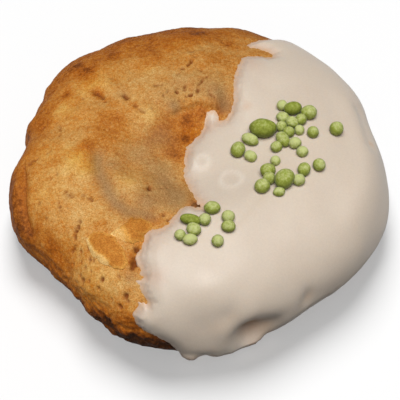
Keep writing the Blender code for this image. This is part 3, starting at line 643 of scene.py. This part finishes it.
class Nodes:
    """The node tree of a new material, with a short call for each kind of node."""

    def __init__(self, name):
        self.material = bpy.data.materials.new(name)
        self.material.use_nodes = True
        self.tree = self.material.node_tree
        self.shader = self.tree.nodes["Principled BSDF"]
        self.coordinates = self.tree.nodes.new("ShaderNodeTexCoord").outputs["Object"]

    def add(self, kind, links, **settings):
        node = self.tree.nodes.new(kind)
        for name, value in settings.items():
            setattr(node, name, value)
        for socket, value in links.items():
            if isinstance(value, bpy.types.NodeSocket):
                self.tree.links.new(value, node.inputs[socket])
            else:
                node.inputs[socket].default_value = value
        return node

    def set(self, **values):
        """Sets the shader's own sockets, named with underscores for spaces."""
        for name, value in values.items():
            socket = self.shader.inputs[name.replace("_", " ")]
            if isinstance(value, bpy.types.NodeSocket):
                self.tree.links.new(value, socket)
            else:
                socket.default_value = value

    def attribute(self, name):
        return self.add("ShaderNodeAttribute", {}, attribute_name=name).outputs["Fac"]

    def noise(self, size_mm, detail=2.0, roughness=0.5, distortion=0.0):
        """Noise about 0.5 with blobs of a size in millimetres."""
        links = {
            "Vector": self.coordinates, "Scale": 1.0 / (size_mm * MM), "Detail": detail,
            "Roughness": roughness, "Distortion": distortion,
        }
        return self.add("ShaderNodeTexNoise", links).outputs["Fac"]

    def math(self, operation, first, second, clamp=False):
        node = self.add("ShaderNodeMath", {0: first, 1: second}, operation=operation, use_clamp=clamp)
        return node.outputs["Value"]

    def swing(self, noise, amount):
        """The noise turned into a value from about -amount to amount."""
        return self.math("MULTIPLY", self.math("SUBTRACT", noise, 0.5), 2.0 * amount)

    def mix(self, factor, first, second, blend="MIX"):
        """Mixes two colours, which a Mix node takes at sockets 6 and 7 and gives at output 2."""
        node = self.add("ShaderNodeMix", {0: factor}, data_type="RGBA", blend_type=blend)
        for socket, value in ((6, first), (7, second)):
            if isinstance(value, bpy.types.NodeSocket):
                self.tree.links.new(value, node.inputs[socket])
            else:
                node.inputs[socket].default_value = (*value, 1.0)
        return node.outputs[2]

    def ramp(self, factor, stops):
        node = self.add("ShaderNodeValToRGB", {"Fac": factor})
        ramp = node.color_ramp
        while len(ramp.elements) < len(stops):
            ramp.elements.new(0.5)
        for element, (position, colour) in zip(ramp.elements, stops):
            element.position = position
            element.color = (*colour, 1.0)
        return node.outputs["Color"]

    def bump(self, height, distance_mm, strength, normal=None):
        links = {"Height": height, "Distance": distance_mm * MM, "Strength": strength}
        if normal:
            links["Normal"] = normal
        return self.add("ShaderNodeBump", links).outputs["Normal"]


# ---- materials

CRUST_STOPS = (
    (0.0, (0.60, 0.37, 0.13)), (0.2, (0.525, 0.265, 0.07)), (0.4, (0.45, 0.168, 0.024)),
    (0.6, (0.35, 0.103, 0.01)), (0.8, (0.17, 0.046, 0.006)), (1.0, (0.04, 0.013, 0.004)),
)
# Grey of less baked crust, also painted as shade in the hollow and the trough
GREY_SHADE_CRUST = (0.3, 0.178, 0.076)
GOLD_TINT = (1.02, 0.9, 0.5)
DUST = (0.52, 0.32, 0.14)
# Painted shade: the dark brown that pores and cracks are painted, by depth
PORE_SHADE = (0.18, 0.052, 0.01)
DUST_GRAINS = ((0.5, (0.0, 0.0, 0.0)), (0.72, (0.38, 0.38, 0.38)))
# Dust shows on the pale crust, not on the burnt
DUST_FADE = ((0.4, (1.0, 1.0, 1.0)), (0.75, (0.15, 0.15, 0.15)))
# The finest grain, which crust and chunks share, from its dark spots to its light ones
GRAIN_SIZE = 0.26
CRUST_GRAIN = ((0.27, (0.66, 0.61, 0.46)), (0.73, (1.28, 1.32, 1.5)))


def crust_material():
    """Baked dough: browning with mottled speckles, golden in places and grey in others, with pale dusty
    grains. Painted shade darkens the pores and cracks, browns the crust under the lip and greys the hollow
    and the trough."""
    nodes = Nodes("baked_crust")
    blotches = nodes.swing(nodes.noise(3.2, detail=3.0), 0.26)
    speckles = nodes.swing(nodes.noise(0.8, detail=3.0, roughness=0.65), 0.3)
    # Browning, with painted shade under the lip, along the seam and in the trough
    bake_and_shade = nodes.math("ADD", nodes.attribute("bake_and_shade"), nodes.math("ADD", blotches, speckles), clamp=True)
    colour = nodes.ramp(bake_and_shade, CRUST_STOPS)
    # Greyer where less baked, and painted shade in the hollow and the trough
    grey_and_shade = nodes.math("MULTIPLY", nodes.attribute("grey_and_shade"), 0.85, clamp=True)
    colour = nodes.mix(grey_and_shade, colour, GREY_SHADE_CRUST)
    gold = nodes.math("ADD", nodes.attribute("gold"), nodes.swing(nodes.noise(6.0), 0.5), clamp=True)
    colour = nodes.mix(gold, colour, GOLD_TINT, blend="MULTIPLY")
    dust = nodes.ramp(nodes.noise(0.45, detail=3.0, roughness=0.7), DUST_GRAINS)
    dust = nodes.mix(1.0, dust, nodes.ramp(bake_and_shade, DUST_FADE), blend="MULTIPLY")
    colour = nodes.mix(dust, colour, DUST)
    grain = nodes.noise(GRAIN_SIZE)
    colour = nodes.mix(1.0, colour, nodes.ramp(grain, CRUST_GRAIN), blend="MULTIPLY")
    # Painted shade in the pores and cracks
    colour = nodes.mix(nodes.attribute("pit_shade"), colour, PORE_SHADE)
    roughness = nodes.math("ADD", nodes.swing(speckles, 0.3), 0.95)
    crumb = nodes.noise(0.9, detail=4.0, roughness=0.6)
    nodes.set(Base_Color=colour, Roughness=roughness, Specular_IOR_Level=0.08)
    nodes.set(Normal=nodes.bump(crumb, 0.16, 0.5, normal=nodes.bump(grain, 0.05, 0.5)))
    return nodes.material


ICING_BODY = (0.56, 0.47, 0.38)
# The next two tones, of thin icing, also paint shade into the cavity at the front foot
ICING_THIN_AND_SHADE_TONE = (0.51, 0.36, 0.27)
ICING_FILM_AND_SHADE_TONE = (0.57, 0.36, 0.21)
ICING_PALE = (0.68, 0.6, 0.51)
ICING_GRAIN = ((0.3, (0.965, 0.965, 0.965)), (0.7, (1.03, 1.03, 1.03)))


def icing_material():
    """Satin icing: a warm white coat, pinker where it thins out over the dough, with painted shade in
    the front cavity and painted light on the bubble rims and the foot's top.
    """
    nodes = Nodes("satin_icing")
    cloud = nodes.swing(nodes.noise(7.0), 0.2)
    # Thin icing shows the dough; the cavity at the front foot is painted browner as shade
    thin_and_shade = nodes.math("ADD", nodes.attribute("thin_and_shade"), cloud, clamp=True)
    colour = nodes.mix(thin_and_shade, ICING_BODY, ICING_THIN_AND_SHADE_TONE)
    # Painted highlight on the bubble rims and painted light on the top of the foot
    colour = nodes.mix(nodes.attribute("pale"), colour, ICING_PALE)
    colour = nodes.mix(nodes.attribute("film_and_shade"), colour, ICING_FILM_AND_SHADE_TONE)
    colour = nodes.mix(1.0, colour, nodes.ramp(nodes.noise(0.4), ICING_GRAIN), blend="MULTIPLY")
    nodes.set(Base_Color=colour, Roughness=0.42, Specular_IOR_Level=0.35)
    nodes.set(Subsurface_Weight=0.2, Subsurface_Radius=(1.2, 0.8, 0.5), Subsurface_Scale=MM)
    nodes.set(Normal=nodes.bump(nodes.noise(1.4, detail=3.0), 0.05, 0.35))
    return nodes.material


PEARL_STOPS = (
    (0.0, (0.135, 0.158, 0.012)), (0.5, (0.25, 0.288, 0.045)), (1.0, (0.46, 0.485, 0.2)),
)


def pearl_material():
    """Sugar pearls: green, with painted light making each pearl paler toward its top."""
    nodes = Nodes("green_sugar")
    mottle = nodes.swing(nodes.noise(0.7, detail=3.0, roughness=0.7), 0.8)
    shade = nodes.math("ADD", nodes.attribute("pale"), mottle, clamp=True)
    nodes.set(Base_Color=nodes.ramp(shade, PEARL_STOPS), Roughness=0.7, Specular_IOR_Level=0.15)
    nodes.set(Sheen_Weight=0.2, Sheen_Roughness=0.4)
    nodes.set(Subsurface_Weight=0.3, Subsurface_Radius=(0.6, 0.8, 0.25), Subsurface_Scale=MM)
    nodes.set(Normal=nodes.bump(nodes.noise(0.4, detail=3.0), 0.1, 0.5))
    return nodes.material


CHUNK_STOPS = (
    (0.0, (0.74, 0.46, 0.16)), (0.3, (0.62, 0.30, 0.06)), (0.65, (0.46, 0.17, 0.022)),
    (1.0, (0.30, 0.095, 0.012)),
)


def chunk_material():
    """Toasted white chocolate: browned on top, and pale gold on the faces left of the ridges, which is
    partly painted light on those faces.
    """
    nodes = Nodes("toasted_white_chocolate")
    mottle = nodes.swing(nodes.noise(1.0, detail=4.0, roughness=0.6), 0.4)
    bake_and_shade = nodes.math("ADD", nodes.attribute("bake_and_shade"), mottle, clamp=True)
    grain = nodes.ramp(nodes.noise(GRAIN_SIZE), CRUST_GRAIN)
    colour = nodes.mix(1.0, nodes.ramp(bake_and_shade, CHUNK_STOPS), grain, blend="MULTIPLY")
    nodes.set(Base_Color=colour, Roughness=0.8, Specular_IOR_Level=0.15)
    nodes.set(Subsurface_Weight=0.1, Subsurface_Radius=(1.0, 0.6, 0.2), Subsurface_Scale=MM)
    nodes.set(Normal=nodes.bump(nodes.noise(0.6, detail=4.0, roughness=0.6), 0.14, 0.5))
    return nodes.material


# ---- the cookie

COOKIE_RINGS = 64
# The bare crust's mesh is finer, and runs on this far under the icing
CRUST_CUTS = 2
CRUST_UNDER_ICING = 1.5
# The outlines of the two chunks, and how far the dough is sunk under them
CHUNK_LOW = (
    (-27.3, -27.2), (-25.4, -25.6), (-22.6, -25.6), (-19.6, -27.2), (-17.0, -29.8), (-16.2, -31.9),
    (-17.4, -33.2), (-19.8, -33.0), (-23.2, -31.2), (-26.1, -29.2),
)
CHUNK_HIGH = (
    (-20.5, -25.9), (-17.9, -24.3), (-15.3, -23.0), (-13.0, -22.3), (-11.3, -22.8), (-11.0, -23.9),
    (-12.2, -25.4), (-13.4, -26.8), (-15.2, -27.7), (-17.2, -27.0),
)
CHUNK_SUNK = 0.7


def dough_under(x, y):
    """Under flat positions: the reach inside the icing, the smooth body, the way it faces and the
    lumpy ground, moved to the part's middle."""
    reach = icing_reach(x, y)
    smooth = body_points(x, y)
    normals = body_normals(x, y)
    ground = smooth + np.array(CENTRING) + normals * dough_relief(x, y, smooth, reach)[:, None]
    return reach, smooth, normals, ground


def make_cookie():
    """The whole dough, bare or iced, closed with a flat face underneath."""
    mesh = disc_grid(COOKIE_RINGS)
    refine(mesh, lambda x, y: icing_reach(x, y) < CRUST_UNDER_ICING, CRUST_CUTS)
    x, y = flat_positions(mesh)
    reach, smooth, normals, ground = dough_under(x, y)
    fine, pit_shade = crust_detail(x, y, smooth, reach)
    for outline in (CHUNK_LOW, CHUNK_HIGH):
        fine -= CHUNK_SUNK * inside(x, y, outline) * smooth_step(to_edge(x, y, outline), 0.0, 1.0)
    for vert, point in zip(mesh.verts, ground + normals * fine[:, None]):
        vert.co = point
    rim = [edge for edge in mesh.edges if edge.is_boundary]
    bmesh.ops.contextual_create(mesh, geom=rim)
    bmesh.ops.recalc_face_normals(mesh, faces=mesh.faces)
    cookie = make_object("baked_dough", mesh, crust_material())
    set_attribute(cookie, "bake_and_shade", crust_bake_and_shade(x, y, smooth))
    set_attribute(cookie, "grey_and_shade", crust_grey_and_shade(x, y))
    set_attribute(cookie, "gold", np.clip(sum_of_bells(x, y, GOLD), 0.0, 1.0))
    set_attribute(cookie, "pit_shade", pit_shade)
    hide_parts("cookie")
    return cookie


# ---- the icing coat

ICING_RINGS = 74
# The sheet runs on past the icing's edge, into the dough, and is finer along it, but not at the hem
ICING_SKIRT = 1.6
EDGE_CUTS = 2
EDGE_FINE = 3.0
HEM_COARSE = 5.0
# How deep the shell's inner side lies in the dough, and the least it is apart from the outer
ICING_ROOT = 1.6
ICING_CORE = 0.7
# Where the coat is thinner: along its edge and at some spots; the spot in the cavity at the front
# foot is painted shade
THIN_EDGE = 0.8
THIN_WIDTH = 1.6
ICING_THIN_AND_SHADE_SPOTS = (
    (12.5, 22.3, 2.6, 0.5), (11.1, 9.6, 1.0, 0.5), (2.2, 4.4, 1.8, 0.6), (-2.9, -3.2, 1.6, 0.6),
    (-9.5, -35.6, 2.2, 0.6), (-6.0, -22.0, 2.0, 0.4), (-10.0, -27.0, 2.4, 0.35), (14.0, -50.5, 3.5, 0.9),
)
# Where it is spread only very thinly over the crust: patches along its edge and some spots; the two
# spots in the cavity at the front foot are painted shade
FILM_EDGE = 0.6
FILM_WIDTH = 0.9
FILM_PATCHES = 1.2
FILM_MOST = 1.4
ICING_BARE_AND_SHADE_SPOTS = (
    (41.5, 3.5, 0.6, 0.9), (14.5, -50.0, 2.4, 0.45), (19.0, -50.5, 2.4, 0.4), (29.0, -40.6, 1.4, 0.35),
    (4.5, -47.5, 2.4, 0.18), (7.5, -45.0, 1.6, 0.15), (3.5, -57.5, 1.2, 0.4), (11.3, 9.4, 0.9, 0.3),
)
# Where the coat is whiter: painted highlight on the rims of the burst bubbles, painted light on the
# lit top of the foot, and some spots
BUBBLE_RIM = 0.7
BUBBLE_PALE = 0.5
ICING_PALE_SPOTS = (
    (2.8, 7.6, 1.2, 0.7), (-1.2, -7.2, 1.2, 0.5), (10.0, -56.5, 3.0, 0.6), (14.5, -57.5, 2.5, 0.5),
)


def make_icing():
    """The coat as a closed shell, whose inner side and edge lie inside the dough."""
    mesh = disc_grid(ICING_RINGS)
    x, y = flat_positions(mesh)
    far = icing_reach(x, y) < -ICING_SKIRT
    bmesh.ops.delete(mesh, geom=[vert for vert, out in zip(mesh.verts[:], far) if out], context="VERTS")
    refine(
        mesh, lambda x, y: (icing_reach(x, y) < EDGE_FINE) & (np.hypot(x, y) < SKIN - HEM_COARSE), EDGE_CUTS
    )
    x, y = flat_positions(mesh)
    reach, smooth, normals, ground = dough_under(x, y)
    thickness = icing_thickness(x, y, reach)
    outer = ground + normals * thickness[:, None]
    inner = ground - normals * np.maximum(ICING_ROOT, ICING_CORE - thickness)[:, None]
    for shell in (inner, outer):
        shell[:, 2] = np.maximum(shell[:, 2], FLOOR_CLEARANCE)
    within = np.maximum(reach, 0.0)
    thin_and_shade = THIN_EDGE * bell(within, THIN_WIDTH) + sum_of_bells(x, y, ICING_THIN_AND_SHADE_SPOTS)
    patchy = np.clip(1.0 + FILM_PATCHES * noise_at(smooth, 1.0, 3.0), 0.0, FILM_MOST)
    film_and_shade = FILM_EDGE * patchy * bell(within, FILM_WIDTH) + sum_of_bells(x, y, ICING_BARE_AND_SHADE_SPOTS)
    rings = sum(
        bell(np.hypot(x - at_x, y - at_y) - radius, BUBBLE_RIM) for at_x, at_y, radius, _ in ICING_BUBBLES
    )
    pale = BUBBLE_PALE * rings + sum_of_bells(x, y, ICING_PALE_SPOTS)
    spots = thicken(mesh, inner, outer)
    icing = make_object("icing_coat", mesh, icing_material())
    for name, values in (("thin_and_shade", thin_and_shade), ("film_and_shade", film_and_shade), ("pale", pale)):
        set_attribute(icing, name, np.clip(values, 0.0, 1.0)[spots])
    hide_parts("icing")
    return icing


# ---- the sugar pearls

UP = Vector((0.0, 0.0, 1.0))
PEARL_ROUGHNESS = 0.06
PEARL_LUMPS = 1.3
PEARL_SHADE = 0.1
# Painted light: how much paler a pearl is painted at its top, and from which share of its half height
PEARL_TOP_LIGHT = 0.45
TOP_LIGHT_FROM = 0.1


def make_pearls():
    """All the pearls in one mesh, each a slightly lumpy bead that stands on the coat."""
    rows = np.array(PEARLS)
    x, y = rows[:, 0], rows[:, 1]
    reach, _, normals, ground = dough_under(x, y)
    lift = icing_thickness(x, y, reach) + rows[:, 3] - PEARL_SINK
    middles = ground + normals * lift[:, None]
    mesh = bmesh.new()
    shades = []
    for (_, _, half_length, half_width, turn, pale), middle, normal in zip(PEARLS, middles, normals):
        facing = UP.rotation_difference(Vector(normal)).to_matrix().to_4x4()
        shape = Matrix.Diagonal((half_length, half_width, half_width, 1.0))
        spin = Matrix.Rotation(math.radians(turn), 4, "Z")
        made = bmesh.ops.create_icosphere(mesh, subdivisions=5, radius=1.0)["verts"]
        for vert in made:
            # Painted light: paler toward the top
            shades.append(pale - PEARL_SHADE + PEARL_TOP_LIGHT * smooth_step(vert.co.z, TOP_LIGHT_FROM, 1.0))
            vert.co *= 1.0 + PEARL_ROUGHNESS * noise.noise(vert.co * PEARL_LUMPS + Vector(middle))
        bmesh.ops.transform(mesh, matrix=Matrix.Translation(middle) @ facing @ spin @ shape, verts=made)
    pearls = make_object("sugar_pearls", mesh, pearl_material())
    set_attribute(pearls, "pale", shades)
    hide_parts("icing")
    return pearls


# ---- the chocolate chunks

CHUNK_RINGS = 26
# How deep the rim dives into the dough, over which last share of the size, and the root below it
CHUNK_DEPTH = 1.6
CHUNK_DIVE = 0.93
CHUNK_ROOT = 0.6
CHUNK_MARGIN = 0.8
CHUNK_SQUARE = 3.0
CHUNK_SHOULDER = 0.8
CHUNK_RAGS = 0.8
CHUNK_RAG_SIZE = 0.5
CHUNK_LUMPS = ((1.6, 0.2), (0.6, 0.1))
# Near its rim a chunk is browned like the crust: how much, and from which share of its size
CHUNK_RIM_BAKE = 0.34
CHUNK_RIM = (0.72, 0.95)


def outline_radius(outline, middle, turn):
    """How far a closed outline lies from its middle in given directions."""
    best = np.full_like(turn, 0.1)
    for (ax, ay), (bx, by) in zip(outline, outline[1:] + outline[:1]):
        ax, ay, bx, by = ax - middle[0], ay - middle[1], bx - middle[0], by - middle[1]
        dx, dy = bx - ax, by - ay
        across = np.cos(turn) * dy - np.sin(turn) * dx
        across = np.where(np.abs(across) < 1e-9, 1e-9, across)
        reach = (ax * dy - ay * dx) / across
        share = (ax * np.sin(turn) - ay * np.cos(turn)) / across
        best = np.where((reach > 0.0) & (share >= 0.0) & (share <= 1.0), np.maximum(best, reach), best)
    return best


def make_chunk(number, outline, ridge, top, browning_and_light, material):
    """A chunk whose rim follows an outline; its height, and its toasting with painted light on the lit
    face, go by the distance to a ridge.
    """
    mesh = disc_grid(CHUNK_RINGS, 1.0)
    u, v = flat_positions(mesh)
    share = np.hypot(u, v)
    turn = np.arctan2(v, u)
    middle = np.mean(outline, axis=0)
    ring = np.stack([np.cos(turn), np.sin(turn), np.zeros_like(turn)], -1)
    ragged = CHUNK_RAGS * noise_at(ring, CHUNK_RAG_SIZE, number)
    span = share * (outline_radius(outline, middle, turn) + CHUNK_MARGIN + ragged)
    for vert, x, y in zip(mesh.verts, middle[0] + span * np.cos(turn), middle[1] + span * np.sin(turn)):
        vert.co = Vector((x, y, 0.0))
    x, y = flat_positions(mesh)
    _, smooth, normals, ground = dough_under(x, y)
    swell = np.clip(1.0 - share**CHUNK_SQUARE, 0.0, 1.0) ** CHUNK_SHOULDER
    off = to_line(x, y, ridge)[0]
    rise = top(off) * swell - CHUNK_DEPTH * smooth_step(share, CHUNK_DIVE, 1.0)
    rise += sum(height * noise_at(smooth, size, 4.0) for size, height in CHUNK_LUMPS)
    spots = thicken(mesh, ground - normals * (CHUNK_DEPTH + CHUNK_ROOT), ground + normals * rise[:, None])
    chunk = make_object(f"white_chocolate_piece_{number}", mesh, material)
    # Toasting, and painted light on the lit face
    bake_and_shade = browning_and_light(off)
    rim = smooth_step(share, *CHUNK_RIM) * smooth_step(bake_and_shade, 0.0, 0.5)
    set_attribute(chunk, "bake_and_shade", np.clip(bake_and_shade * (1.0 - rim) + CHUNK_RIM_BAKE * rim, 0.0, 1.0)[spots])
    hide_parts(f"white_chocolate_chunk_{number}")
    return chunk


# The lines along the chunks' tops, from which height, toasting and painted light are measured
LOW_RIDGE = ((-27.2, -27.0), (-26.4, -28.4), (-25.2, -29.4), (-23.9, -30.3), (-22.4, -31.2), (-21.0, -32.2))
HIGH_RIDGE = ((-17.2, -24.2), (-16.0, -26.5), (-14.8, -28.2))


def low_top(off):
    """A plump top that drops off steeply on the front left side."""
    return 0.45 + 0.6 * smooth_step(off, -1.6, 0.4)


def low_browning_and_light(off):
    """Browned on top, and gold past the ridge on the front left side, partly painted light on that face."""
    return 0.66 - 0.85 * (1.0 - smooth_step(off, 0.0, 1.3))


def high_top(off):
    """A wedge that rises from its tip to a ridge and falls off gently past it."""
    return 1.45 - 0.26 * np.maximum(-off, 0.0) - 0.12 * np.maximum(off, 0.0)


def high_browning_and_light(off):
    """Pale gold on the left of the ridge, painted light on its lit face, and browner in two steps across it.
    """
    return 0.05 + 0.25 * smooth_step(off, -1.6, -0.2) + 0.35 * smooth_step(off, -0.2, 1.2)


def make_chunks():
    material = chunk_material()
    low = make_chunk(1, CHUNK_LOW, LOW_RIDGE, low_top, low_browning_and_light, material)
    high = make_chunk(2, CHUNK_HIGH, HIGH_RIDGE, high_top, high_browning_and_light, material)
    return low, high


# ---- stage

# The camera's places and the floor are in metres
CAMERA_ELEVATION = 52.0
CAMERA_DISTANCE = 0.62
CAMERA_LENS = 235.6
CAMERA_SENSOR = 36.0
CAMERA_AIM = (0.00017, 0.00129, 0.0085)
CAMERA_DROP = 0.00497

FLOOR_WHITE = 0.8
FLOOR_HALF = 3.0
WORLD_STRENGTH = 0.1
# Each light: name, degrees from straight up, the compass angle it leans to, its strength, its
# softness in degrees, and what it falls on
LIGHTS = (
    ("window_behind", 36.0, 95.0, 2.6, 32.0, "floor"),
    ("softbox_right", 13.0, -80.0, 3.84, 38.0, "coat"),
    ("softbox_left", 21.0, -128.0, 3.68, 45.0, "dough"),
    ("floor_fill", 0.0, 0.0, 1.48, 10.0, "floor"),
)


def make_floor():
    nodes = Nodes("floor_white")
    nodes.set(Base_Color=(FLOOR_WHITE, FLOOR_WHITE, FLOOR_WHITE, 1.0), Roughness=0.9, Specular_IOR_Level=0.0)
    mesh = bmesh.new()
    bmesh.ops.create_grid(mesh, x_segments=1, y_segments=1, size=FLOOR_HALF)
    data = bpy.data.meshes.new("floor")
    mesh.to_mesh(data)
    mesh.free()
    data.materials.append(nodes.material)
    floor = bpy.data.objects.new("floor", data)
    floor.visible_diffuse = False
    bpy.context.scene.collection.objects.link(floor)
    return floor


def make_lights(pieces):
    """The world and the lights; pieces maps what a light can fall on to its objects."""
    world = bpy.data.worlds.new("studio")
    world.use_nodes = True
    background = world.node_tree.nodes["Background"]
    background.inputs["Color"].default_value = (1.0, 1.0, 1.0, 1.0)
    background.inputs["Strength"].default_value = WORLD_STRENGTH
    bpy.context.scene.world = world
    for name, lean, compass, strength, softness, falls_on in LIGHTS:
        light = bpy.data.lights.new(name, "SUN")
        light.energy = strength
        light.angle = math.radians(softness)
        lamp = bpy.data.objects.new(name, light)
        towards = Vector((math.sin(math.radians(lean)), 0.0, math.cos(math.radians(lean))))
        towards.rotate(Matrix.Rotation(math.radians(compass), 3, "Z"))
        lamp.rotation_euler = towards.to_track_quat("Z", "Y").to_euler()
        bpy.context.scene.collection.objects.link(lamp)
        lit = bpy.data.collections.new(f"lit_by_{name}")
        for piece in pieces[falls_on]:
            lit.objects.link(piece)
        lamp.light_linking.receiver_collection = lit
        if name == "floor_fill":
            lamp.light_linking.blocker_collection = lit


def make_camera():
    elevation = math.radians(CAMERA_ELEVATION)
    back = Vector((0.0, -math.cos(elevation), math.sin(elevation)))
    up = Vector((0.0, math.sin(elevation), math.cos(elevation)))
    lens = bpy.data.cameras.new("camera")
    lens.lens = CAMERA_LENS
    lens.sensor_width = CAMERA_SENSOR
    camera = bpy.data.objects.new("camera", lens)
    camera.location = Vector(CAMERA_AIM) + back * CAMERA_DISTANCE
    aim = Vector(CAMERA_AIM) - up * CAMERA_DROP
    camera.rotation_euler = (camera.location - aim).to_track_quat("Z", "Y").to_euler()
    bpy.context.scene.collection.objects.link(camera)
    bpy.context.scene.camera = camera
    bpy.context.scene.view_settings.view_transform = "Standard"


make_camera()
make_lights({
    "dough": [make_cookie(), *make_chunks()],
    "coat": [make_icing(), make_pearls()],
    "floor": [make_floor()],
})
